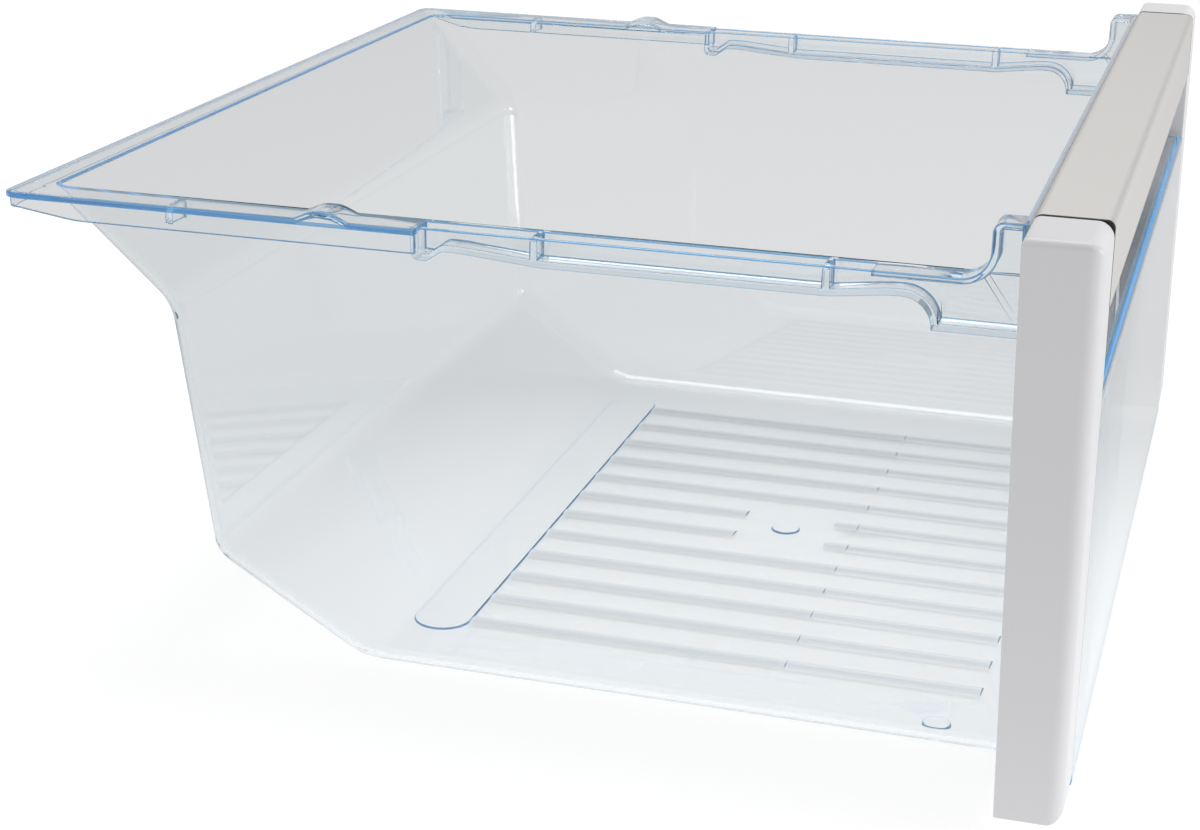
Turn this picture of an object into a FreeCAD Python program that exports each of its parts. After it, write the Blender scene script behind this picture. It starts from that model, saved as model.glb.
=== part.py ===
"""Fridge crisper drawer: a clear moulded tub behind a front of white frame, clear window and handle strip.

X runs across the drawer, Y from the front to the back, Z up from the floor's underside.
Every sketch measures Y from the top front edge of the panel; each body is then set back
so that the origin lies under the middle of the whole drawer.
"""
import FreeCAD, Part
import math
import os

import Sketcher

SIZES = {
    # Front panel
    "panel_width": 500.0,
    "panel_height": 215.5,
    "panel_raise": 5.4,
    "panel_depth_top": 27.8,
    "panel_depth_foot": 24.5,
    "panel_foot_lead": 2.3,
    "panel_front_round": 6.0,
    "panel_top_round": 3.0,
    # White frame
    "column_width": 32.0,
    "frame_wall": 2.5,
    "column_ribs": 4,
    "grip_back": 4.8,
    "grip_height": 31.6,
    # Handle strip
    "strip_sheet": 1.8,
    "strip_lip": 31.4,
    "strip_back_lip": 8.0,
    "strip_end_gap": 0.8,
    # Window
    "window_sheet": 3.0,
    "window_round": 1.6,
    "window_clearance": 0.2,
    # Tub walls: the rim lies under the panel's top, the back in front of the rim's rear edge
    "tub_wall": 2.5,
    "tub_width": 424.2,
    "side_lean": 18.1,
    "side_round": 10.0,
    "rim_drop": 23.7,
    "heel_run": 64.5,
    "heel_rise": 41.0,
    "floor_knee_round": 30.0,
    "heel_round": 14.0,
    "back_lean": 10.0,
    "slope_run": 47.9,
    "slope_rise": 46.2,
    "back_round": 18.0,
    # Rim flange and skirt
    "rim_depth": 424.4,
    "rim_border": 14.3,
    "rim_border_rear": 10.0,
    "rim_sheet": 2.2,
    "rim_corner_round": 6.0,
    "skirt_inset": 1.0,
    "skirt_sheet": 2.2,
    "skirt_drop": 9.6,
    "skirt_drop_rear": 6.2,
    "skirt_taper": 30.0,
    # Runner along each side: a trough with a sliding web below, part covered in front
    "runner_border": 10.7,
    "runner_sheet": 2.4,
    "runner_root": 0.4,
    "web_sheet": 2.2,
    "runner_rear": 254.5,
    "runner_drop": 8.5,
    "slide_drop": 2.6,
    "slide_rear": 205.0,
    "slide_front": 97.0,
    "slide_ramp_rear": 31.0,
    "slide_ramp_front": 22.0,
    "foot_round": 50.0,
    "hook_length": 12.0,
    "hook_slope": 6.0,
    "hook_rise": 4.1,
    "hook_round": 2.5,
    "ledge_length": 32.0,
    "ledge_curve": 11.0,
    "ledge_step": 0.4,
    "cover_length": 54.0,
    "plate_proud": 0.5,
    # Ears where the rim turns up behind the panel
    "ear_depth": 12.8,
    "ear_drop": 2.5,
    "ear_curve": 10.4,
    "ear_top_round": 4.0,
    # Hump of the rim, rib under it and plates across the trough
    "hump_gap": 35.5,
    "hump_width": 22.0,
    "hump_crown": 7.0,
    "hump_height": 3.3,
    "hump_round": 9.0,
    "gusset_rear": 353.0,
    "gusset_middle": 207.0,
    "gusset_front": 98.0,
    "gusset_sheet": 2.4,
    "gusset_drop": 7.0,
    "gusset_round": 5.0,
    # Floor
    "rib_count": 12,
    "rib_pitch": 26.0,
    "rib_width": 8.5,
    "rib_crown": 2.2,
    "rib_height": 0.7,
    "rib_round": 8.0,
    "rib_overlap": 1.0,
    "wedge_width": 8.5,
    "wedge_crown": 3.4,
    "wedge_height": 1.0,
    "wedge_round": 4.0,
    "wedge_rear": 122.0,
    "wedge_front": 41.0,
    "bolster_margin_rear": 7.0,
    "bolster_margin_side": 37.0,
    "bolster_width": 24.5,
    "bolster_end_flat": 0.5,
    "bolster_height": 0.75,
    "gate_place": 154.5,
    "gate_clear_length": 43.0,
    "gate_clear_width": 40.0,
    "gate_diameter": 13.0,
    "gate_height": 0.8,
    "pip_place": 54.0,
    "pip_margin": 17.0,
    "pip_diameter": 11.0,
    "pip_height": 1.0,
    # Overshoot of cuts
    "overshoot": 20.0,
}

document = FreeCAD.newDocument("crisper_drawer")
sheet = document.addObject("Spreadsheet::Sheet", "sizes")
for row, (alias, millimetres) in enumerate(SIZES.items(), start=1):
    sheet.set(f"A{row}", alias)
    sheet.set(f"B{row}", str(millimetres))
    sheet.setAlias(f"B{row}", alias)
document.recompute()

# Levels and faces that several pieces share, as expressions of the sheet's sizes
FOOT = "sizes.panel_raise"
TOP = "(sizes.panel_raise + sizes.panel_height)"
BACK = "sizes.panel_depth_top"
BACK_FOOT = "(sizes.panel_depth_foot - sizes.panel_foot_lead)"
LIP_FOOT = f"({TOP} - sizes.strip_lip)"
GRIP_FLOOR = f"({LIP_FOOT} - sizes.grip_height)"
BACK_LIP_FOOT = f"({TOP} - sizes.strip_back_lip)"
GLAZED_WIDTH = "(sizes.panel_width - 2 * sizes.column_width)"
GRIP_DEPTH = f"({BACK} - sizes.grip_back)"
RIM = f"({TOP} - sizes.rim_drop)"
RIM_UNDER = f"({RIM} - sizes.rim_sheet)"
EAR_TOP = f"({TOP} - sizes.ear_drop)"
MOUTH_REAR = "(sizes.rim_depth - sizes.rim_border_rear)"
BACK_REAR = f"({MOUTH_REAR} - sizes.slope_run)"
HEEL_REAR = f"({BACK_REAR} - sizes.back_lean)"
FLOOR_REAR = f"({HEEL_REAR} - sizes.heel_run)"
HALF_MOUTH = "(sizes.tub_width / 2)"
HALF_FLOOR = f"({HALF_MOUTH} - sizes.side_lean)"
HALF_RIM = f"({HALF_MOUTH} + sizes.rim_border)"
HALF_RUNNER = f"({HALF_MOUTH} + sizes.runner_border)"
FLOOR_TOP = "sizes.tub_wall"
OVER = "sizes.overshoot"


def front_at(level):
    """Expression for how far the leaning front face lies from Y zero at a level."""
    return f"(-sizes.panel_foot_lead * ({TOP} - {level}) / sizes.panel_height)"


def back_at(level):
    """Expression for the Y of the leaning plane where the panel's back meets the tub, at a level."""
    return f"({BACK} - ({BACK} - {BACK_FOOT}) * ({TOP} - {level}) / sizes.panel_height)"


def new_body(label):
    """Body named for its piece and set back so that the drawer's middle lies at the origin."""
    body = document.addObject("PartDesign::Body", label)
    body.Label = label
    body.setExpression("Placement.Base.y", "-(sizes.rim_depth - sizes.panel_foot_lead) / 2")
    return body


def origin_feature(body, role):
    """Origin plane or axis of a body, such as XY_Plane."""
    return next(feature for feature in body.Origin.OriginFeatures if feature.Role == role)


def pin(sketch, geometry, end, across, up):
    """Fixes one point of a sketch by two dimensions from the sketch's origin."""
    for kind, expression in (("DistanceX", across), ("DistanceY", up)):
        distance = float(sketch.evalExpression(expression))
        index = sketch.addConstraint(Sketcher.Constraint(kind, -1, 1, geometry, end, distance))
        sketch.setExpression(f"Constraints[{index}]", expression)


def add_loop(sketch, corners):
    """Closed outline through corners (across, up) or (across, up, radius of a rounded corner)."""
    places = [
        FreeCAD.Vector(float(sketch.evalExpression(c[0])), float(sketch.evalExpression(c[1])), 0)
        for c in corners
    ]
    count = len(corners)
    arrive, leave, turn = [], [], []
    for index, corner in enumerate(corners):
        before = (places[index - 1] - places[index]).normalize()
        after = (places[(index + 1) % count] - places[index]).normalize()
        radius = float(sketch.evalExpression(corner[2])) if len(corner) > 2 else 0.0
        reach = radius / math.tan(before.getAngle(after) / 2)
        arrive.append(places[index] + before * reach)
        leave.append(places[index] + after * reach)
        turn.append(before.cross(after).z < 0)
    lines = [
        sketch.addGeometry(Part.LineSegment(leave[index], arrive[(index + 1) % count]))
        for index in range(count)
    ]
    for index, corner in enumerate(corners):
        line_in, line_out = lines[index - 1], lines[index]
        if len(corner) == 2:
            sketch.addConstraint(Sketcher.Constraint("Coincident", line_in, 2, line_out, 1))
            pin(sketch, line_out, 1, corner[0], corner[1])
            continue
        radius = float(sketch.evalExpression(corner[2]))
        bisector = (arrive[index] + leave[index]) / 2 - places[index]
        reach = (arrive[index] - places[index]).Length
        centre = places[index] + bisector.normalize() * math.hypot(reach, radius)
        first, last = (arrive[index], leave[index]) if turn[index] else (leave[index], arrive[index])
        start = math.atan2(first.y - centre.y, first.x - centre.x)
        stop = math.atan2(last.y - centre.y, last.x - centre.x)
        circle = Part.Circle(centre, FreeCAD.Vector(0, 0, 1), radius)
        arc = sketch.addGeometry(Part.ArcOfCircle(circle, start, stop))
        arc_in, arc_out = (1, 2) if turn[index] else (2, 1)
        sketch.addConstraint(Sketcher.Constraint("Tangent", line_in, 2, arc, arc_in))
        sketch.addConstraint(Sketcher.Constraint("Tangent", line_out, 1, arc, arc_out))
        rounding = sketch.addConstraint(Sketcher.Constraint("Radius", arc, radius))
        sketch.setExpression(f"Constraints[{rounding}]", corner[2])
        tip = sketch.addGeometry(Part.Point(places[index]), True)
        sketch.addConstraint(Sketcher.Constraint("PointOnObject", tip, 1, line_in))
        sketch.addConstraint(Sketcher.Constraint("PointOnObject", tip, 1, line_out))
        pin(sketch, tip, 1, corner[0], corner[1])


def new_sketch(body, name, role, loops, offset="0"):
    """Sketch of closed outlines on an origin plane, moved along the plane's normal by an offset."""
    sketch = body.newObject("Sketcher::SketchObject", name)
    sketch.AttachmentSupport = (origin_feature(body, role), [""])
    sketch.MapMode = "FlatFace"
    sketch.setExpression("AttachmentOffset.Base.z", offset)
    document.recompute()
    for corners in loops:
        add_loop(sketch, corners)
    return sketch


def extrude(body, kind, name, sketch, length, symmetric=False, reverse=False):
    """Pad or Pocket of a sketch by a length, checked to have changed the body's volume.

    Faces in one plane stay apart here and are merged by the mirror that follows.
    """
    before = body.Shape.Volume if body.Tip else 0.0
    feature = body.newObject("PartDesign::" + kind, name)
    feature.Refine = False
    feature.Profile = sketch
    feature.SideType = "Symmetric" if symmetric else "One side"
    feature.Reversed = reverse
    feature.setExpression("Length", length)
    document.recompute()
    gain = body.Shape.Volume - before
    if (gain <= 0) == (kind == "Pad"):
        raise RuntimeError(f"{name} left the volume as it was")
    return feature


def mirror_across(body, name, features):
    """Copies features to the other side of the drawer."""
    mirrored = body.newObject("PartDesign::Mirrored", name)
    mirrored.Originals = features
    mirrored.MirrorPlane = (origin_feature(body, "YZ_Plane"), [""])
    body.Tip = mirrored
    document.recompute()
    return mirrored


def value(expression):
    """Present value of an expression of the sheet's sizes."""
    return float(sheet.evalExpression(expression))


def round_edges(body, name, is_edge, radius):
    """Fillet on every edge of the body that passes a test."""
    base = body.Tip
    names = [f"Edge{number}" for number, edge in enumerate(base.Shape.Edges, start=1) if is_edge(edge)]
    fillet = body.newObject("PartDesign::Fillet", name)
    fillet.Base = (base, names)
    fillet.setExpression("Radius", radius)
    document.recompute()
    return fillet


def ends_of(edge):
    """End points of an edge."""
    return [vertex.Point for vertex in edge.Vertexes]


def near(first, second):
    """True where two lengths are the same."""
    return abs(first - second) < 1e-4


def rectangle(left, low, right, high):
    """Corners of a rectangle."""
    return [(left, low), (right, low), (right, high), (left, high)]


# Tub: one clear moulding, hollowed from a block with a sloping heel and drafted sides
tub = new_body("tub")
block_outline = new_sketch(tub, "tub_side_view", "YZ_Plane", [[
    (back_at("0"), "0"),
    (FLOOR_REAR, "0", "sizes.floor_knee_round"),
    (HEEL_REAR, "sizes.heel_rise", "sizes.heel_round"),
    (BACK_REAR, f"{RIM} - sizes.slope_rise", "sizes.back_round"),
    (MOUTH_REAR, RIM),
    (back_at(RIM), RIM),
]])
extrude(tub, "Pad", "tub_block", block_outline, "sizes.tub_width", symmetric=True)
draft_outline = new_sketch(tub, "side_draft", "XZ_Plane", [[
    (HALF_FLOOR, "0"),
    (f"{HALF_MOUTH} + {OVER}", "0"),
    (f"{HALF_MOUTH} + {OVER}", RIM),
    (HALF_MOUTH, RIM),
]])
draft = extrude(tub, "Pocket", "side_draft_cut", draft_outline, "2 * sizes.rim_depth", symmetric=True)
mirror_across(tub, "side_drafts", [draft])


def on_tub_side(point):
    """True on the plane of one of the tub's drafted sides."""
    inset = value("sizes.side_lean") * (1 - point.z / value(RIM))
    return near(abs(point.x), value(HALF_MOUTH) - inset)


def is_side_border(edge):
    """True for the edges between a drafted side and the floor, heel, back and slope."""
    ends = ends_of(edge)
    at_rim = all(near(end.z, value(RIM)) for end in ends)
    at_front = all(end.y <= value(BACK) for end in ends)
    return all(on_tub_side(end) for end in ends) and not at_rim and not at_front


side_rounds = round_edges(tub, "tub_side_rounds", is_side_border, "sizes.side_round")
mouth = next(
    f"Face{number}"
    for number, face in enumerate(side_rounds.Shape.Faces, start=1)
    if all(near(vertex.Point.z, value(RIM)) for vertex in face.Vertexes)
)
hollow = tub.newObject("PartDesign::Thickness", "tub_hollow")
hollow.Base = (side_rounds, [mouth])
hollow.Reversed = True
hollow.setExpression("Value", "sizes.tub_wall")
document.recompute()

# Floor bolster: a low flat pad across the floor with round ends
BOLSTER_REAR = f"({FLOOR_REAR} - sizes.bolster_margin_rear)"
BOLSTER_FRONT = f"({BOLSTER_REAR} - sizes.bolster_width)"
HALF_BOLSTER = f"({HALF_FLOOR} - sizes.bolster_margin_side)"
BOLSTER_ROUND = "(sizes.bolster_width - sizes.bolster_end_flat) / 2"
bolster = new_sketch(tub, "bolster_outline", "XY_Plane", [[
    (f"-{HALF_BOLSTER}", BOLSTER_FRONT, BOLSTER_ROUND),
    (HALF_BOLSTER, BOLSTER_FRONT, BOLSTER_ROUND),
    (HALF_BOLSTER, BOLSTER_REAR, BOLSTER_ROUND),
    (f"-{HALF_BOLSTER}", BOLSTER_REAR, BOLSTER_ROUND),
]], offset=FLOOR_TOP)
extrude(tub, "Pad", "bolster", bolster, "sizes.bolster_height")


def mound(kind, middle, level):
    """Corners of a low mound with a rounded crown, a rib, wedge or hump, standing on a level."""
    return [
        (f"{middle} - sizes.{kind}_width / 2", level),
        (f"{middle} + sizes.{kind}_width / 2", level),
        (f"{middle} + sizes.{kind}_crown / 2", f"{level} + sizes.{kind}_height", f"sizes.{kind}_round"),
        (f"{middle} - sizes.{kind}_crown / 2", f"{level} + sizes.{kind}_height", f"sizes.{kind}_round"),
    ]


# Floor ribs: soft low mounds from the bolster to the step and taller ones in front of it
FIRST_RIB = "(-(sizes.rib_count - 1) * sizes.rib_pitch / 2)"
RIB_REAR = f"({BOLSTER_FRONT} + sizes.rib_overlap)"
RIB_FRONT = "(sizes.wedge_rear - sizes.rib_overlap)"
bar = new_sketch(tub, "rib_section", "XZ_Plane", [mound("rib", FIRST_RIB, FLOOR_TOP)], offset=f"-{RIB_REAR}")
bar_pad = extrude(tub, "Pad", "rib", bar, f"{RIB_REAR} - {RIB_FRONT}")
wedge_outline = mound("wedge", FIRST_RIB, FLOOR_TOP)
wedge = new_sketch(tub, "wedge_section", "XZ_Plane", [wedge_outline], offset="-sizes.wedge_rear")
wedge_pad = extrude(tub, "Pad", "wedge", wedge, "sizes.wedge_rear - sizes.wedge_front")
ribs = tub.newObject("PartDesign::LinearPattern", "ribs")
ribs.Refine = False
ribs.Originals = [bar_pad, wedge_pad]
ribs.Direction = (origin_feature(tub, "X_Axis"), [""])
ribs.setExpression("Length", "(sizes.rib_count - 1) * sizes.rib_pitch")
ribs.setExpression("Occurrences", "sizes.rib_count")
tub.Tip = ribs
document.recompute()
gate_clear = new_sketch(tub, "gate_clear_outline", "XY_Plane", [
    rectangle(
        "-sizes.gate_clear_width / 2",
        "sizes.gate_place - sizes.gate_clear_length / 2",
        "sizes.gate_clear_width / 2",
        "sizes.gate_place + sizes.gate_clear_length / 2",
    ),
], offset=FLOOR_TOP)
extrude(tub, "Pocket", "gate_clear", gate_clear, "sizes.wedge_height", reverse=True)


def add_disc(body, name, across, along, diameter, height):
    """Low round boss on the tub's floor."""
    disc = body.newObject("PartDesign::AdditiveCylinder", name)
    disc.Refine = False
    disc.AttachmentSupport = (origin_feature(body, "XY_Plane"), [""])
    disc.MapMode = "FlatFace"
    disc.setExpression("AttachmentOffset.Base.x", across)
    disc.setExpression("AttachmentOffset.Base.y", along)
    disc.setExpression("AttachmentOffset.Base.z", FLOOR_TOP)
    disc.setExpression("Radius", f"{diameter} / 2")
    disc.setExpression("Height", height)
    document.recompute()
    return disc


add_disc(tub, "gate_mark", "0", "sizes.gate_place", "sizes.gate_diameter", "sizes.gate_height")
PIP_ACROSS = f"{HALF_FLOOR} - sizes.pip_margin"
pip = add_disc(tub, "pip", PIP_ACROSS, "sizes.pip_place", "sizes.pip_diameter", "sizes.pip_height")
mirror_across(tub, "pips", [pip])

# Tub front plate: widens the front wall behind the panel and carries it up to the ears
CREST = f"({RIM} - sizes.runner_drop)"
LEDGE = f"({CREST} - sizes.ledge_curve - sizes.ledge_step)"


def plate_rear(level):
    """Expression for the Y of the front plate's rear face at a level."""
    return f"({back_at(level)} + sizes.tub_wall)"


front_plate = new_sketch(tub, "front_plate_section", "YZ_Plane", [[
    (back_at(LEDGE), LEDGE),
    (plate_rear(LEDGE), LEDGE),
    (plate_rear(EAR_TOP), EAR_TOP),
    (back_at(EAR_TOP), EAR_TOP),
]])
PLATE_WIDTH = f"2 * ({HALF_RUNNER} + sizes.plate_proud)"
extrude(tub, "Pad", "front_plate", front_plate, PLATE_WIDTH, symmetric=True)

# Rim flange: a flat border round the rear half of the mouth, behind the runners
HALF_LIP = f"({HALF_MOUTH} - sizes.tub_wall / 2)"
LIP_REAR = f"({MOUTH_REAR} - sizes.tub_wall)"
FLANGE_FRONT = "(sizes.runner_rear - sizes.web_sheet)"
flange = new_sketch(tub, "flange_outline", "XY_Plane", [[
    (HALF_LIP, FLANGE_FRONT),
    (HALF_RIM, FLANGE_FRONT),
    (HALF_RIM, "sizes.rim_depth", "sizes.rim_corner_round"),
    (f"-{HALF_RIM}", "sizes.rim_depth", "sizes.rim_corner_round"),
    (f"-{HALF_RIM}", FLANGE_FRONT),
    (f"-{HALF_LIP}", FLANGE_FRONT),
    (f"-{HALF_LIP}", LIP_REAR, "sizes.side_round"),
    (HALF_LIP, LIP_REAR, "sizes.side_round"),
]], offset=RIM_UNDER)
extrude(tub, "Pad", "flange", flange, "sizes.rim_sheet")

# Skirt: a wall under the flange's edge, deeper along the sides than across the back
SKIRT_OUT = f"({HALF_RIM} - sizes.skirt_inset)"
SKIRT_IN = f"({SKIRT_OUT} - sizes.skirt_sheet)"
SKIRT_REAR = "(sizes.rim_depth - sizes.skirt_inset)"
SKIRT_REAR_IN = f"({SKIRT_REAR} - sizes.skirt_sheet)"
SKIRT_FOOT = f"({RIM} - sizes.skirt_drop)"
SKIRT_FOOT_REAR = f"({RIM} - sizes.skirt_drop_rear)"
SKIRT_ROUND_IN = "sizes.rim_corner_round - sizes.skirt_sheet"
skirt = new_sketch(tub, "skirt_outline", "XY_Plane", [[
    (SKIRT_OUT, FLANGE_FRONT),
    (SKIRT_OUT, SKIRT_REAR, "sizes.rim_corner_round"),
    (f"-{SKIRT_OUT}", SKIRT_REAR, "sizes.rim_corner_round"),
    (f"-{SKIRT_OUT}", FLANGE_FRONT),
    (f"-{SKIRT_IN}", FLANGE_FRONT),
    (f"-{SKIRT_IN}", SKIRT_REAR_IN, SKIRT_ROUND_IN),
    (SKIRT_IN, SKIRT_REAR_IN, SKIRT_ROUND_IN),
    (SKIRT_IN, FLANGE_FRONT),
]], offset=SKIRT_FOOT_REAR)
extrude(tub, "Pad", "skirt", skirt, "sizes.skirt_drop_rear - sizes.rim_sheet")
SKIRT_CORNER = f"({SKIRT_REAR} - sizes.rim_corner_round)"
side_skirt = new_sketch(tub, "side_skirt_outline", "YZ_Plane", [[
    (FLANGE_FRONT, SKIRT_FOOT),
    (f"{SKIRT_REAR} - sizes.skirt_taper", SKIRT_FOOT, "sizes.foot_round"),
    (SKIRT_CORNER, SKIRT_FOOT_REAR),
    (FLANGE_FRONT, SKIRT_FOOT_REAR),
]], offset=SKIRT_IN)
side_skirt_pad = extrude(tub, "Pad", "side_skirt", side_skirt, "sizes.skirt_sheet")

# Runner: a block along the rim with a hooked end, a bowed foot and the ear, hollowed to a trough
RUNNER_LEAN = f"(sizes.side_lean * ({RIM} - {LEDGE}) / {RIM})"
RUNNER_IN = f"({HALF_MOUTH} - {RUNNER_LEAN} - sizes.runner_root)"
TROUGH_OUT = f"({HALF_RUNNER} - sizes.runner_sheet)"
SLIDE = f"({CREST} - sizes.slide_drop)"
HOOK_START = "(sizes.runner_rear - sizes.hook_length)"
HOOK_FOOT = f"({CREST} - sizes.hook_rise)"
LEDGE_REAR = f"({BACK} + sizes.ledge_length)"
COVER_REAR = f"({BACK} + sizes.cover_length)"
EAR_REAR = f"({BACK} + sizes.ear_depth)"
EAR_INSIDE = f"({EAR_REAR} - sizes.rim_sheet)"
EAR_CEILING = f"({EAR_TOP} - sizes.rim_sheet)"


def foot_line(sheet_up):
    """Corners of the runner's lower edge from the ledge to the hook, moved inwards by a thickness."""
    inner_bend = f"sizes.hook_round + {sheet_up}"
    outer_bend = f"sizes.hook_round - {sheet_up}"
    return [
        (f"{LEDGE_REAR} - {sheet_up}", f"{LEDGE} + {sheet_up}"),
        (f"{LEDGE_REAR} - {sheet_up}", f"{CREST} + {sheet_up}", f"sizes.ledge_curve + {sheet_up}"),
        ("sizes.slide_front - sizes.slide_ramp_front", f"{CREST} + {sheet_up}", "sizes.foot_round"),
        ("sizes.slide_front", f"{SLIDE} + {sheet_up}", "sizes.foot_round"),
        ("sizes.slide_rear", f"{SLIDE} + {sheet_up}", "sizes.foot_round"),
        ("sizes.slide_rear + sizes.slide_ramp_rear", f"{CREST} + {sheet_up}", "sizes.foot_round"),
        (HOOK_START, f"{CREST} + {sheet_up}", inner_bend),
        (f"{HOOK_START} + sizes.hook_slope", f"{HOOK_FOOT} + {sheet_up}", outer_bend),
        (f"sizes.runner_rear - {sheet_up}", f"{HOOK_FOOT} + {sheet_up}", outer_bend),
    ]


runner = new_sketch(tub, "runner_outline", "YZ_Plane", [[
    (BACK, LEDGE),
    *foot_line("0"),
    ("sizes.runner_rear", RIM),
    (EAR_REAR, RIM, "sizes.ear_curve"),
    (EAR_REAR, EAR_TOP, "sizes.ear_top_round"),
    (BACK, EAR_TOP),
]], offset=RUNNER_IN)
runner_pad = extrude(tub, "Pad", "runner", runner, f"{HALF_RUNNER} - {RUNNER_IN}")
WEB_TOP = f"({LEDGE} + sizes.web_sheet)"
trough = new_sketch(tub, "trough_outline", "YZ_Plane", [[
    (plate_rear(WEB_TOP), WEB_TOP),
    *foot_line("sizes.web_sheet"),
    (FLANGE_FRONT, f"{RIM} + {OVER}"),
    (COVER_REAR, f"{RIM} + {OVER}"),
    (COVER_REAR, RIM_UNDER),
    (EAR_INSIDE, RIM_UNDER, "sizes.ear_curve + sizes.rim_sheet"),
    (EAR_INSIDE, EAR_CEILING, "sizes.ear_top_round - sizes.rim_sheet"),
    (plate_rear(EAR_CEILING), EAR_CEILING),
]], offset=HALF_MOUTH)
trough_cut = extrude(tub, "Pocket", "trough", trough, f"{TROUGH_OUT} - {HALF_MOUTH}", reverse=True)
trough_plates = []
for place in ("gusset_front", "gusset_middle"):
    plate = new_sketch(tub, f"{place}_outline", "XZ_Plane", [[
        (RUNNER_IN, f"{SLIDE} + sizes.web_sheet / 2"),
        (f"{TROUGH_OUT} + sizes.runner_sheet / 2", f"{SLIDE} + sizes.web_sheet / 2"),
        (f"{TROUGH_OUT} + sizes.runner_sheet / 2", RIM, "sizes.gusset_round"),
        (RUNNER_IN, RIM),
    ]], offset=f"-sizes.{place}")
    trough_plates.append(extrude(tub, "Pad", place, plate, "sizes.gusset_sheet", symmetric=True))

# Hump: a short arch of the flange, hollow below
HUMP_PLACE = "(sizes.runner_rear + sizes.hump_gap)"
hump = new_sketch(tub, "hump_section", "YZ_Plane", [mound("hump", HUMP_PLACE, RIM)], offset=HALF_LIP)
hump_pad = extrude(tub, "Pad", "hump", hump, f"{HALF_RIM} - {HALF_LIP}")
tunnel_outline = mound("hump", HUMP_PLACE, RIM_UNDER)
tunnel = new_sketch(tub, "hump_tunnel_section", "YZ_Plane", [tunnel_outline], offset=HALF_MOUTH)
tunnel_cut = extrude(tub, "Pocket", "hump_tunnel", tunnel, f"{SKIRT_IN} - {HALF_MOUTH}", reverse=True)

# Gusset: a short rib under the flange between the wall and the skirt
gusset = new_sketch(tub, "gusset_rear_section", "YZ_Plane", [
    rectangle(
        "sizes.gusset_rear - sizes.gusset_sheet / 2",
        f"{RIM} - sizes.gusset_drop",
        "sizes.gusset_rear + sizes.gusset_sheet / 2",
        RIM_UNDER,
    ),
], offset=HALF_LIP)
gusset_pad = extrude(tub, "Pad", "gusset_rear", gusset, f"{SKIRT_OUT} - {HALF_LIP}")
one_side = [side_skirt_pad, runner_pad, trough_cut, *trough_plates, hump_pad, tunnel_cut, gusset_pad]
mirror_across(tub, "other_side", one_side)

# Front frame: one white moulding of two hollow end columns, a rail between them and a grip back
frame = new_body("front_frame")
panel_outline = new_sketch(frame, "panel_side_view", "YZ_Plane", [[
    ("0", TOP),
    ("-sizes.panel_foot_lead", FOOT),
    (BACK_FOOT, FOOT),
    (BACK, TOP),
]])
extrude(frame, "Pad", "panel_block", panel_outline, "sizes.panel_width", symmetric=True)


def is_front_upright(edge):
    """True for the two outer upright edges of the panel's front."""
    ends = ends_of(edge)
    outside = all(near(abs(end.x), value("sizes.panel_width / 2")) for end in ends)
    return outside and all(end.y < value(BACK) / 2 for end in ends)


def is_top_border(edge):
    """True for the edges round the panel's top face."""
    return all(near(end.z, value(TOP)) for end in ends_of(edge))


round_edges(frame, "front_rounds", is_front_upright, "sizes.panel_front_round")
round_edges(frame, "top_rounds", is_top_border, "sizes.panel_top_round")
RAIL_UNDER = f"({TOP} - sizes.strip_sheet - sizes.frame_wall)"
RAIL_INSIDE = "(sizes.strip_sheet + sizes.frame_wall)"
GRIP_BACK_FOOT = f"({GRIP_FLOOR} - sizes.window_sheet)"
grip_room = new_sketch(frame, "grip_and_window_section", "YZ_Plane", [[
    (f"-{OVER}", f"{FOOT} - {OVER}"),
    (f"{BACK} + {OVER}", f"{FOOT} - {OVER}"),
    (f"{BACK} + {OVER}", GRIP_BACK_FOOT),
    (GRIP_DEPTH, GRIP_BACK_FOOT),
    (GRIP_DEPTH, RAIL_UNDER),
    (RAIL_INSIDE, RAIL_UNDER),
    (RAIL_INSIDE, LIP_FOOT),
    (f"-{OVER}", LIP_FOOT),
]])
extrude(frame, "Pocket", "grip_and_window", grip_room, GLAZED_WIDTH, symmetric=True)
STRIP_ROUND_IN = "sizes.panel_top_round - sizes.strip_sheet"
LIP_INSIDE = f"{front_at(LIP_FOOT)} + sizes.strip_sheet"
BACK_LIP_INSIDE = f"{back_at(BACK_LIP_FOOT)} - sizes.strip_sheet"
strip_seat = new_sketch(frame, "strip_seat_section", "YZ_Plane", [[
    (f"-{OVER}", LIP_FOOT),
    (LIP_INSIDE, LIP_FOOT),
    ("sizes.strip_sheet", f"{TOP} - sizes.strip_sheet", STRIP_ROUND_IN),
    (f"{BACK} - sizes.strip_sheet", f"{TOP} - sizes.strip_sheet", STRIP_ROUND_IN),
    (BACK_LIP_INSIDE, BACK_LIP_FOOT),
    (f"{BACK} + {OVER}", BACK_LIP_FOOT),
    (f"{BACK} + {OVER}", f"{TOP} + {OVER}"),
    (f"-{OVER}", f"{TOP} + {OVER}"),
]])
extrude(frame, "Pocket", "strip_seat", strip_seat, GLAZED_WIDTH, symmetric=True)


def column_bay(number):
    """Corners of one hollow of a column, between two of its cross ribs and open to the back."""
    pitch = "(sizes.panel_height - sizes.frame_wall) / (sizes.column_ribs + 1)"
    low = f"({FOOT} + sizes.frame_wall + {number} * {pitch})"
    high = f"({FOOT} + {number + 1} * {pitch})"
    return [
        (f"{front_at(low)} + sizes.frame_wall", low),
        (f"{BACK} + {OVER}", low),
        (f"{BACK} + {OVER}", high),
        (f"{front_at(high)} + sizes.frame_wall", high),
    ]


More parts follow.
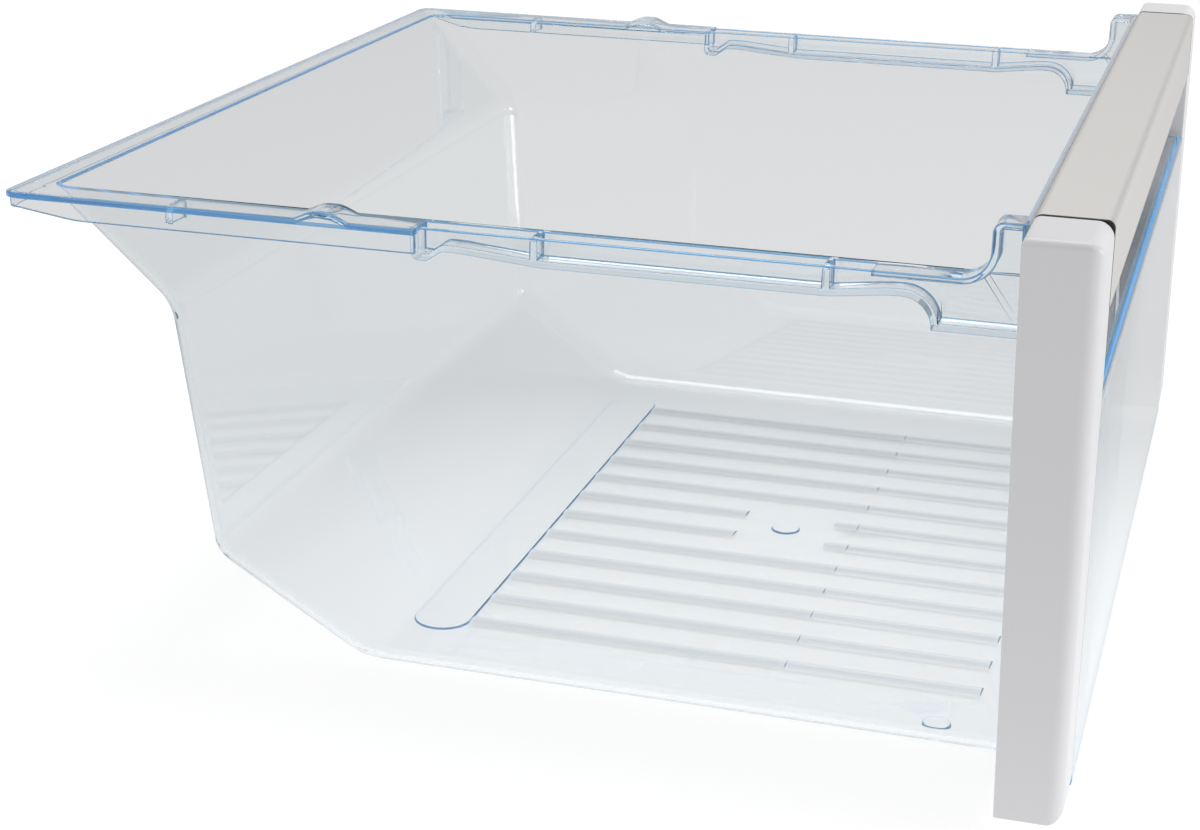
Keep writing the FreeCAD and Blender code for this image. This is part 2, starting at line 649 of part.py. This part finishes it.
bays = new_sketch(
    frame,
    "column_bays",
    "YZ_Plane",
    [column_bay(number) for number in range(int(value("sizes.column_ribs")) + 1)],
    offset="sizes.panel_width / 2 - sizes.frame_wall",
)
bays_cut = extrude(frame, "Pocket", "column_hollows", bays, "sizes.column_width - 2 * sizes.frame_wall")
mirror_across(frame, "both_columns", [bays_cut])

# Handle strip: a silver channel that caps the rail and hangs down in front as the grip's lip
strip = new_body("handle_strip")
strip_section = new_sketch(strip, "strip_section", "YZ_Plane", [[
    (front_at(LIP_FOOT), LIP_FOOT),
    (LIP_INSIDE, LIP_FOOT),
    ("sizes.strip_sheet", f"{TOP} - sizes.strip_sheet", STRIP_ROUND_IN),
    (f"{BACK} - sizes.strip_sheet", f"{TOP} - sizes.strip_sheet", STRIP_ROUND_IN),
    (BACK_LIP_INSIDE, BACK_LIP_FOOT),
    (back_at(BACK_LIP_FOOT), BACK_LIP_FOOT),
    (BACK, TOP, "sizes.panel_top_round"),
    ("0", TOP, "sizes.panel_top_round"),
]])
extrude(strip, "Pad", "strip", strip_section, f"{GLAZED_WIDTH} - 2 * sizes.strip_end_gap", symmetric=True)

# Window: a clear plate between the columns, turned back at the top as the grip's floor
window = new_body("window")
window_section = new_sketch(window, "window_section", "YZ_Plane", [[
    ("-sizes.panel_foot_lead", FOOT, "sizes.window_round"),
    (back_at(FOOT), FOOT),
    (back_at(f"({FOOT} + sizes.window_sheet)"), f"{FOOT} + sizes.window_sheet"),
    (f"{front_at(FOOT)} + sizes.window_sheet", f"{FOOT} + sizes.window_sheet", "sizes.window_round"),
    (f"{front_at(GRIP_FLOOR)} + sizes.window_sheet", GRIP_BACK_FOOT, "sizes.window_round"),
    (GRIP_DEPTH, GRIP_BACK_FOOT),
    (GRIP_DEPTH, GRIP_FLOOR),
    (front_at(GRIP_FLOOR), GRIP_FLOOR, "sizes.window_round"),
]])
PANE_WIDTH = f"{GLAZED_WIDTH} - 2 * sizes.window_clearance"
extrude(window, "Pad", "pane", window_section, PANE_WIDTH, symmetric=True)

# Every feature has to be sound before anything is written
document.recompute()
for item in document.Objects:
    if {"Invalid", "Error"} & set(item.State):
        raise RuntimeError(f"{item.Name} failed: {item.State}")
os.makedirs("parts", exist_ok=True)
for piece in (tub, frame, strip, window):
    if piece.Shape.isNull() or not piece.Shape.isValid() or len(piece.Shape.Solids) != 1:
        raise RuntimeError(f"{piece.Label} is not one sound solid")
    piece.Shape.exportStep(f"parts/{piece.Label}.step")
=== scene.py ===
"""Fridge crisper drawer: a clear tub behind a front of white frame, clear window and silver strip."""

import math

import bmesh
import bpy
import numpy as np
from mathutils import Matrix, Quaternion, Vector


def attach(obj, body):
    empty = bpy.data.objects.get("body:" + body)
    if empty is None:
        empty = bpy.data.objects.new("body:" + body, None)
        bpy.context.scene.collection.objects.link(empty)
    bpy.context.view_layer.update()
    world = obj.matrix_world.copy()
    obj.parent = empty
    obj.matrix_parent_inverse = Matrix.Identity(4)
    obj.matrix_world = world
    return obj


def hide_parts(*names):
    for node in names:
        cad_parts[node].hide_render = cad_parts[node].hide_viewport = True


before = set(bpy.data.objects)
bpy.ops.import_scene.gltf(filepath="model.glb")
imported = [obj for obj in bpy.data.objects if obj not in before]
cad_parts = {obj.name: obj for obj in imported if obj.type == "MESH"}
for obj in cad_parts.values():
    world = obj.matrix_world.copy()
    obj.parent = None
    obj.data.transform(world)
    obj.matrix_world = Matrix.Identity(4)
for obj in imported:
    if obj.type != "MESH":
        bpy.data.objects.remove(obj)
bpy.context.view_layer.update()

# Tub
# One injection moulding of clear polystyrene with a trace of blue toner. A wall looks almost
# colourless face on, and the toner shows where light has run a long way inside the sheet to an edge.
MM = 0.001
SAME_POINT = 0.01 * MM
SHARP_FOLD = math.radians(30)
FOLD_SEGMENTS = 2
TUB_EDGE_ROUND = 0.3 * MM
RIM_EDGE_ROUND = 0.6 * MM
RIM_EDGES_ABOVE = 197 * MM


def read_all(items, name, kind=float, width=1):
    """One property of every item as an array, with a row for each item where it has several numbers."""
    numbers = np.empty(width * len(items), dtype=kind)
    items.foreach_get(name, numbers)
    return numbers.reshape(-1, width) if width > 1 else numbers


def softened_copy(node, edge_round, rim_round=0.0, rim_above=math.inf):
    """Copy that replaces a node, with its triangles merged and its sharp folds rounded.

    Folds that lie above rim_above are rounded by rim_round instead of edge_round. The face attribute
    moulded_edge is 1 on the narrow faces of the rounded folds and 0 on all others.
    """
    merged = bmesh.new()
    merged.from_mesh(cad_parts[node].data)
    bmesh.ops.remove_doubles(merged, verts=merged.verts, dist=SAME_POINT)
    widest = max(edge_round, rim_round)
    weight = merged.edges.layers.float.new("bevel_weight_edge")
    for edge in merged.edges:
        if edge.calc_face_angle(0.0) > SHARP_FOLD:
            on_rim = min(corner.co.z for corner in edge.verts) > rim_above
            edge[weight] = (rim_round if on_rim else edge_round) / widest
    mesh = bpy.data.meshes.new(f"{node}_merged")
    merged.to_mesh(mesh)
    merged.free()
    mesh.shade_smooth()
    piece = bpy.data.objects.new(f"{node}_softened", mesh)
    bpy.context.scene.collection.objects.link(piece)

    # Two empty material slots, so that the bevel can put its own faces in the second one
    mesh.materials.append(None)
    mesh.materials.append(None)
    folds = piece.modifiers.new("moulded_edges", "BEVEL")
    folds.width = widest
    folds.segments = FOLD_SEGMENTS
    folds.limit_method = "WEIGHT"
    folds.use_clamp_overlap = False
    folds.loop_slide = False
    folds.material = 1
    rounded = bpy.data.meshes.new_from_object(piece.evaluated_get(bpy.context.evaluated_depsgraph_get()))
    rounded.name = f"{node}_softened"
    is_fold = read_all(rounded.polygons, "material_index", np.int32)
    rounded.polygons.foreach_set("material_index", np.zeros_like(is_fold))
    rounded.materials.clear()
    fold_marks = rounded.attributes.new("moulded_edge", "FLOAT", "FACE")
    fold_marks.data.foreach_set("value", is_fold.astype(np.float32))
    piece.modifiers.remove(folds)
    piece.data = rounded
    piece.modifiers.new("flat_faces", "WEIGHTED_NORMAL")
    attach(piece, "root")
    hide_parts(node)
    return piece


tub = softened_copy("tub", TUB_EDGE_ROUND, RIM_EDGE_ROUND, RIM_EDGES_ABOVE)

# Clear styrene's skin follows the face attribute moulded_edge. A row holds a mark with its tint and
# clearness: the plain wall, the frosted front edge, a rib flank in faint painted blue, and a fold in
# painted blue that stands in for light the sheet carries to its edges.
FROST_MARK = 1 / 3
FLANK_MARK = 2 / 3
# The blue fold is painted light: the blue of light carried far inside the sheet, shown at an edge
BLUE_MARK = 1.0
SKINS = (
    (0.0, "#fdfdfd", 1.0),
    (FROST_MARK, "#dcdcdb", 0.5),
    (FLANK_MARK, "#eef5fb", 0.95),
    (BLUE_MARK, "#74b6ee", 0.5),
)
MARK_MATCH = 0.02
FLANK_CALM = 0.93
UPRIGHT = (0.0, 0.0, 1.0)
STYRENE_IOR = 1.59
POLISHED = 0.0
WAVE_LENGTH = 40 * MM
WAVE_HEIGHT = 0.2 * MM
WAVE_STRENGTH = 0.02
TONER = "#00bef0"
TONER_DEPTH = 100 * MM
SHEET_GLOW = "#b4ebff"
SHEET_GLOW_PER_METRE = 2.4


def linear(hex_colour):
    """sRGB hex colour as linear red, green, blue and an alpha of one."""
    channels = [int(hex_colour[place:place + 2], 16) / 255 for place in (1, 3, 5)]
    curved = [c / 12.92 if c <= 0.04045 else ((c + 0.055) / 1.055) ** 2.4 for c in channels]
    return (*curved, 1.0)


def add_node(tree, kind, settings=None, *ordered, **named):
    """Adds a node, sets its properties, and fills its inputs in order or by name, by value or by link."""
    node = tree.nodes.new(kind)
    for name, setting in (settings or {}).items():
        setattr(node, name, setting)
    filled = list(zip([socket for socket in node.inputs if socket.enabled], ordered))
    filled += [(node.inputs[name.replace("_", " ")], source) for name, source in named.items()]
    for socket, source in filled:
        if isinstance(source, bpy.types.NodeSocket):
            tree.links.new(source, socket)
        else:
            socket.default_value = source
    return node


def new_material(name):
    """Empty node material and its tree."""
    material = bpy.data.materials.new(name)
    material.use_nodes = True
    material.node_tree.nodes.clear()
    return material, material.node_tree


def clear_polystyrene(name):
    """Clear styrene from a polished mould: see-through, with hard reflections off a faintly wavy skin.

    Toner inside the sheet turns long paths of light blue. A render's paths end too soon to gather all
    of it, so the sheet has a faint painted glow and the rounded folds carry part of the blue as painted
    light on their skin.
    """
    material, tree = new_material(name)
    place = add_node(tree, "ShaderNodeTexCoord")
    waves = add_node(
        tree, "ShaderNodeTexNoise", Vector=place.outputs["Object"], Scale=1 / WAVE_LENGTH, Detail=1.0,
    )
    relief = add_node(
        tree, "ShaderNodeBump", Height=waves.outputs["Fac"], Strength=WAVE_STRENGTH, Distance=WAVE_HEIGHT,
    )
    mark = add_node(tree, "ShaderNodeAttribute", {"attribute_name": "moulded_edge"})
    tint = add_node(tree, "ShaderNodeValToRGB", Fac=mark.outputs["Fac"])
    clearness = add_node(tree, "ShaderNodeValToRGB", Fac=mark.outputs["Fac"])
    for ramp in (tint.color_ramp, clearness.color_ramp):
        for between, _, _ in SKINS[1:-1]:
            ramp.elements.new(between)
    for stop, (_, colour, clear) in enumerate(SKINS):
        tint.color_ramp.elements[stop].color = linear(colour)
        clearness.color_ramp.elements[stop].color = (clear, clear, clear, 1.0)

    # Real ribs have softly rounded flanks, so the flat ones here shade as if they were almost level
    on_flank = add_node(
        tree, "ShaderNodeMath", {"operation": "COMPARE"}, mark.outputs["Fac"], FLANK_MARK, MARK_MATCH,
    )
    calm = add_node(tree, "ShaderNodeMath", {"operation": "MULTIPLY"}, on_flank.outputs["Value"], FLANK_CALM)
    facing = add_node(
        tree, "ShaderNodeMix", {"data_type": "VECTOR"},
        calm.outputs["Value"], relief.outputs["Normal"], UPRIGHT,
    )
    mixed_normal = next(socket for socket in facing.outputs if socket.enabled)
    surface = add_node(
        tree, "ShaderNodeBsdfPrincipled", {"distribution": "GGX"}, Base_Color=tint.outputs["Color"],
        Roughness=POLISHED, IOR=STYRENE_IOR, Transmission_Weight=clearness.outputs["Color"],
        Normal=mixed_normal,
    )
    toner = add_node(tree, "ShaderNodeVolumeAbsorption", Color=linear(TONER), Density=1 / TONER_DEPTH)
    # Painted glow: the sheet gives off a faint blue light of its own, for the light its paths cannot carry
    # far enough
    painted_glow = add_node(tree, "ShaderNodeEmission", Color=linear(SHEET_GLOW), Strength=SHEET_GLOW_PER_METRE)
    inside = add_node(tree, "ShaderNodeAddShader", None, toner.outputs["Volume"], painted_glow.outputs["Emission"])
    add_node(
        tree, "ShaderNodeOutputMaterial",
        Surface=surface.outputs["BSDF"], Volume=inside.outputs["Shader"],
    )
    return material


tub.data.materials.append(clear_polystyrene("polystyrene_clear_moulded"))

# The rim's folds carry a paler painted blue on the far side and at the rear, the near flange's edge is
# painted blue over its whole height, the front wall's top edge is frosted, and the floor's ribs have
# calm flanks with a faint painted blue
PALE_FOLD_MARK = 0.76
FAR_RIM_FROM = 190 * MM
REAR_RIM_FROM = 182 * MM
NEAR_RIM_FROM = 210 * MM
FLANGE_EDGE_DEPTH = 0.4 * MM
FLANGE_UNDERSIDE = 195 * MM
FLANGE_TOP = 197.3 * MM
FRONT_EDGE_ABOVE = 214 * MM
FRONT_EDGE_BEFORE = -178 * MM
FRONT_EDGE_HALF = 217 * MM
FLOOR_TOP = 6 * MM
RIBS_END = 50 * MM
RIBS_HALF = 160 * MM
LEAST_FLANK_TILT = math.radians(1.2)
MOST_FLANK_TILT = math.radians(30)


def half_width(node):
    """How far a node of the frame reaches to the right of the middle."""
    return max(corner[0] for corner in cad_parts[node].bound_box)


marks = read_all(tub.data.attributes["moulded_edge"].data, "value", np.float32)
across, along, up = read_all(tub.data.polygons, "center", width=3).T
tilt = np.arccos(np.clip(read_all(tub.data.polygons, "normal", width=3)[:, 2], -1, 1))
heights = read_all(tub.data.vertices, "co", width=3)[:, 2]
corner_heights = heights[read_all(tub.data.loops, "vertex_index", np.int32)]
top_of_face = np.maximum.reduceat(corner_heights, read_all(tub.data.polygons, "loop_start", np.int32))

rim_fold = (marks > FLANK_MARK) & (up > RIM_EDGES_ABOVE)
away_from_near_rim = ((across > FAR_RIM_FROM) | (along > REAR_RIM_FROM)) & (across >= -NEAR_RIM_FROM)
marks[rim_fold & away_from_near_rim] = PALE_FOLD_MARK
front_edge = (up > FRONT_EDGE_ABOVE) & (along < FRONT_EDGE_BEFORE) & (abs(across) < FRONT_EDGE_HALF)
marks[front_edge] = FROST_MARK
at_flange_edge = across < FLANGE_EDGE_DEPTH - half_width("tub")
marks[at_flange_edge & (up > FLANGE_UNDERSIDE) & (top_of_face < FLANGE_TOP)] = BLUE_MARK
among_ribs = (up < FLOOR_TOP) & (along < RIBS_END) & (abs(across) < RIBS_HALF)
sloping = (tilt > LEAST_FLANK_TILT) & (tilt < MOST_FLANK_TILT)
marks[among_ribs & sloping & (marks < FROST_MARK)] = FLANK_MARK
tub.data.attributes["moulded_edge"].data.foreach_set("value", marks)

# Window
# A clear plate of the same styrene, moulded by itself and held between the end columns. It is turned
# back at its top as the grip's floor, and its long top edge, painted blue, is the blue line under the finger
# grip.
WINDOW_EDGE_ROUND = 0.3 * MM
WINDOW_FOLD_MARK = 0.9

window = softened_copy("window", WINDOW_EDGE_ROUND)
window.data.materials.append(clear_polystyrene("polystyrene_clear_plate"))
# Its rounded folds carry a slightly paler painted blue than the tub's, standing in for light the sheet
# carries to its edges
marks = read_all(window.data.attributes["moulded_edge"].data, "value", np.float32)
window.data.attributes["moulded_edge"].data.foreach_set("value", WINDOW_FOLD_MARK * marks)

# Front frame
# One moulding of white styrene, satin from a finely etched mould: two hollow end columns, a rail
# across the top and the back wall of the grip. It clips over the tub's front wall.
FRAME_EDGE_ROUND = 0.5 * MM
FRAME_WHITE = "#e6e6e8"
FRAME_ROUGHNESS = 0.38
FRAME_IOR = 1.54
GRAIN_SIZE = 0.6 * MM
GRAIN_HEIGHT = 0.05 * MM
GRAIN_STRENGTH = 0.05
# Painted shade for the slits beside the strip's ends, used on the frame and on the strip
GAP_SHADE = "#4c4a49"
STRIP_END = half_width("handle_strip")
GAP_MIDDLE_PAST_END = 0.4 * MM
GAP_SHADE_HALF = 1.2 * MM
STRIP_FOOT = 189.5 * MM
LIP_BACK = -209.0 * MM
STRIP_UNDERSIDE = 218.0 * MM


def satin_white_styrene(name):
    """White styrene from an etched mould: a soft sheen with no clear reflection in it.

    A real etched grain is finer, and is drawn this coarse so that it shows at all. The walls of the
    slits beside the strip's ends are painted dark as shade, because little light gets into so narrow a slit.
    """
    material, tree = new_material(name)
    place = add_node(tree, "ShaderNodeTexCoord")
    grain = add_node(
        tree, "ShaderNodeTexNoise", Vector=place.outputs["Object"], Scale=1 / GRAIN_SIZE, Detail=3.0,
    )
    relief = add_node(
        tree, "ShaderNodeBump", Height=grain.outputs["Fac"], Strength=GRAIN_STRENGTH, Distance=GRAIN_HEIGHT,
    )
    axes = add_node(tree, "ShaderNodeSeparateXYZ", Vector=place.outputs["Object"])
    x, y, z = axes.outputs
    aside = add_node(tree, "ShaderNodeMath", {"operation": "ABSOLUTE"}, x).outputs["Value"]
    in_gap = add_node(
        tree, "ShaderNodeMath", {"operation": "COMPARE"},
        aside, STRIP_END + GAP_MIDDLE_PAST_END, GAP_SHADE_HALF,
    )
    above_foot = add_node(tree, "ShaderNodeMath", {"operation": "GREATER_THAN"}, z, STRIP_FOOT)
    in_front = add_node(tree, "ShaderNodeMath", {"operation": "LESS_THAN"}, y, LIP_BACK)
    beside_lip = add_node(
        tree, "ShaderNodeMath", {"operation": "MULTIPLY"},
        above_foot.outputs["Value"], in_front.outputs["Value"],
    )
    beside_top = add_node(tree, "ShaderNodeMath", {"operation": "GREATER_THAN"}, z, STRIP_UNDERSIDE)
    outside = add_node(
        tree, "ShaderNodeMath", {"operation": "MAXIMUM"},
        beside_lip.outputs["Value"], beside_top.outputs["Value"],
    )
    # Painted shade on the slit's outer walls, beside the strip's lip and top
    shade = add_node(
        tree, "ShaderNodeMath", {"operation": "MULTIPLY"},
        in_gap.outputs["Value"], outside.outputs["Value"],
    )
    colour = add_node(tree, "ShaderNodeValToRGB", Fac=shade.outputs["Value"])
    colour.color_ramp.elements[0].color = linear(FRAME_WHITE)
    colour.color_ramp.elements[1].color = linear(GAP_SHADE)
    surface = add_node(
        tree, "ShaderNodeBsdfPrincipled", Base_Color=colour.outputs["Color"], Roughness=FRAME_ROUGHNESS,
        IOR=FRAME_IOR, Normal=relief.outputs["Normal"],
    )
    add_node(tree, "ShaderNodeOutputMaterial", Surface=surface.outputs["BSDF"])
    return material


front_frame = softened_copy("front_frame", FRAME_EDGE_ROUND)
front_frame.data.materials.append(satin_white_styrene("styrene_white_satin"))

# Handle strip
# A channel of anodised aluminium, folded from sheet that was finely brushed along its length. It is
# pressed over the frame's rail, and its front lip is what the fingers pull.
STRIP_EDGE_ROUND = 0.3 * MM
STRIP_SILVER = "#d8d6d4"
STRIP_ROUGHNESS = 0.62
BRUSH_LENGTH = 125 * MM
BRUSH_WIDTH = 0.625 * MM
BRUSH_HEIGHT = 0.02 * MM
BRUSH_STRENGTH = 0.08
END_SHADE_DEPTH = 1.2 * MM


def brushed_anodised_aluminium(name):
    """Aluminium brushed along X and anodised: fine lines that blur its reflections into a pale sheen.

    Real brush lines are finer, and are drawn this wide so that they show. The cut ends and the last
    stretch of the strip beside them carry the same painted shade as the slits beside the columns.
    """
    material, tree = new_material(name)
    place = add_node(tree, "ShaderNodeTexCoord")
    stretch = add_node(
        tree, "ShaderNodeMapping", Vector=place.outputs["Object"],
        Scale=(1 / BRUSH_LENGTH, 1 / BRUSH_WIDTH, 1 / BRUSH_WIDTH),
    )
    lines = add_node(tree, "ShaderNodeTexNoise", Vector=stretch.outputs["Vector"], Scale=1.0, Detail=2.0)
    relief = add_node(
        tree, "ShaderNodeBump", Height=lines.outputs["Fac"], Strength=BRUSH_STRENGTH, Distance=BRUSH_HEIGHT,
    )
    axes = add_node(tree, "ShaderNodeSeparateXYZ", Vector=place.outputs["Object"])
    aside = add_node(tree, "ShaderNodeMath", {"operation": "ABSOLUTE"}, axes.outputs["X"])
    # Painted shade on the strip's last stretch at each end, cut end included
    painted_end_shade = add_node(
        tree, "ShaderNodeMath", {"operation": "GREATER_THAN"},
        aside.outputs["Value"], STRIP_END - END_SHADE_DEPTH,
    )
    colour = add_node(tree, "ShaderNodeValToRGB", Fac=painted_end_shade.outputs["Value"])
    colour.color_ramp.elements[0].color = linear(STRIP_SILVER)
    colour.color_ramp.elements[1].color = linear(GAP_SHADE)
    surface = add_node(
        tree, "ShaderNodeBsdfPrincipled", Base_Color=colour.outputs["Color"], Metallic=1.0,
        Roughness=STRIP_ROUGHNESS, Normal=relief.outputs["Normal"],
    )
    add_node(tree, "ShaderNodeOutputMaterial", Surface=surface.outputs["BSDF"])
    return material


handle_strip = softened_copy("handle_strip", STRIP_EDGE_ROUND)
handle_strip.data.materials.append(brushed_anodised_aluminium("aluminium_brushed_anodised"))

# Studio
# A white table with a painted glow that is brightest under the drawer and falls off behind it, a grey
# room that is paler near the horizon, and two large soft lamps. The camera sees the bare table as plain
# white.
TABLE_SIZE = 60.0
TABLE_DROP = 0.3 * MM
TABLE_LIT = 0.28
TABLE_SEEN = 0.84
TABLE_NEAR = 0.86
TABLE_FAR = 0.50
BRIGHT_SPOT = (-0.14, -0.09, 0.0)
BRIGHT_WITHIN = 80 * MM
DIM_BEYOND = 500 * MM
ROOM_WHITE = "#ffffff"
ROOM_LOW = 0.78
ROOM_HIGH = 0.46
ROOM_HIGH_FROM = 0.5
SHEET_BOUNCES = 24
TABLE_BOUNCES = 3

half = TABLE_SIZE / 2
table_corners = [(-half, -half), (half, -half), (half, half), (-half, half)]
table_mesh = bpy.data.meshes.new("table")
table_mesh.from_pydata([(x, y, -TABLE_DROP) for x, y in table_corners], [], [(0, 1, 2, 3)])
table = bpy.data.objects.new("table", table_mesh)
bpy.context.scene.collection.objects.link(table)

# Matt white card: no reflection of the drawer, a faint shadow under it, and a painted glow of its own
# that is plain white to the camera and a painted pool of light around the drawer to all other rays
table_card, card_tree = new_material("white_table")
lit = add_node(card_tree, "ShaderNodeBsdfDiffuse", Color=(TABLE_LIT, TABLE_LIT, TABLE_LIT, 1.0))
place = add_node(card_tree, "ShaderNodeTexCoord")
away = add_node(
    card_tree, "ShaderNodeVectorMath", {"operation": "DISTANCE"}, place.outputs["Object"], BRIGHT_SPOT,
)
falloff = add_node(
    card_tree, "ShaderNodeMapRange", {"interpolation_type": "SMOOTHSTEP"}, Value=away.outputs["Value"],
    From_Min=BRIGHT_WITHIN, From_Max=DIM_BEYOND, To_Min=TABLE_NEAR, To_Max=TABLE_FAR,
)
path = add_node(card_tree, "ShaderNodeLightPath")
level = add_node(
    card_tree, "ShaderNodeMix", {"data_type": "FLOAT"},
    path.outputs["Is Camera Ray"], falloff.outputs["Result"], TABLE_SEEN,
)
glow = add_node(card_tree, "ShaderNodeEmission", Strength=level.outputs["Result"])
both = add_node(card_tree, "ShaderNodeAddShader", None, lit.outputs["BSDF"], glow.outputs["Emission"])
add_node(card_tree, "ShaderNodeOutputMaterial", Surface=both.outputs["Shader"])
table_mesh.materials.append(table_card)

# The room's level runs from the horizon up to a direction whose upward share is ROOM_HIGH_FROM
world = bpy.data.worlds.new("grey_room")
bpy.context.scene.world = world
world.use_nodes = True
world.node_tree.nodes.clear()
direction = add_node(world.node_tree, "ShaderNodeTexCoord")
upward = add_node(world.node_tree, "ShaderNodeSeparateXYZ", Vector=direction.outputs["Generated"])
room_level = add_node(
    world.node_tree, "ShaderNodeMapRange", Value=upward.outputs["Z"],
    From_Min=0.0, From_Max=ROOM_HIGH_FROM, To_Min=ROOM_LOW, To_Max=ROOM_HIGH,
)
room = add_node(
    world.node_tree, "ShaderNodeBackground", Color=linear(ROOM_WHITE), Strength=room_level.outputs["Result"],
)
add_node(world.node_tree, "ShaderNodeOutputWorld", Surface=room.outputs["Background"])


def soft_lamp(name, place, target, width, watts):
    """Large square area lamp aimed at a point."""
    light = bpy.data.lights.new(name, "AREA")
    light.size = width
    light.energy = watts
    lamp = bpy.data.objects.new(name, light)
    lamp.location = place
    lamp.rotation_mode = "QUATERNION"
    lamp.rotation_quaternion = (Vector(target) - Vector(place)).to_track_quat("-Z", "Y")
    bpy.context.scene.collection.objects.link(lamp)


soft_lamp("front_lamp", place=(0.1, -1.9, 0.30), target=(0.0, -0.2, 0.17), width=1.0, watts=14)
soft_lamp("top_lamp", place=(0.5, 0.0, 2.0), target=(0.0, 0.0, 0.1), width=1.4, watts=18)

# Light runs far inside a clear sheet before it leaves at an edge
cycles = bpy.context.scene.cycles
cycles.max_bounces = SHEET_BOUNCES
cycles.glossy_bounces = SHEET_BOUNCES
cycles.transmission_bounces = SHEET_BOUNCES
cycles.diffuse_bounces = TABLE_BOUNCES

# Camera
# Stands at the drawer's left, low and close, as in the photograph.
CAMERA_PLACE = Vector((-0.98873, -0.26260, 0.41823))
CAMERA_TARGET = Vector((0.0, 0.03657, 0.04872))
CAMERA_ROLL = math.radians(0.739)
CAMERA_LENS = 68.68
CAMERA_SENSOR = 36.0

camera_data = bpy.data.cameras.new("camera")
camera_data.sensor_width = CAMERA_SENSOR
camera_data.lens = CAMERA_LENS
camera = bpy.data.objects.new("camera", camera_data)
camera.location = CAMERA_PLACE
camera.rotation_mode = "QUATERNION"
level_view = (CAMERA_TARGET - CAMERA_PLACE).to_track_quat("-Z", "Y")
camera.rotation_quaternion = level_view @ Quaternion((0, 0, 1), CAMERA_ROLL)
bpy.context.scene.collection.objects.link(camera)
bpy.context.scene.camera = camera
bpy.context.scene.view_settings.view_transform = "Standard"
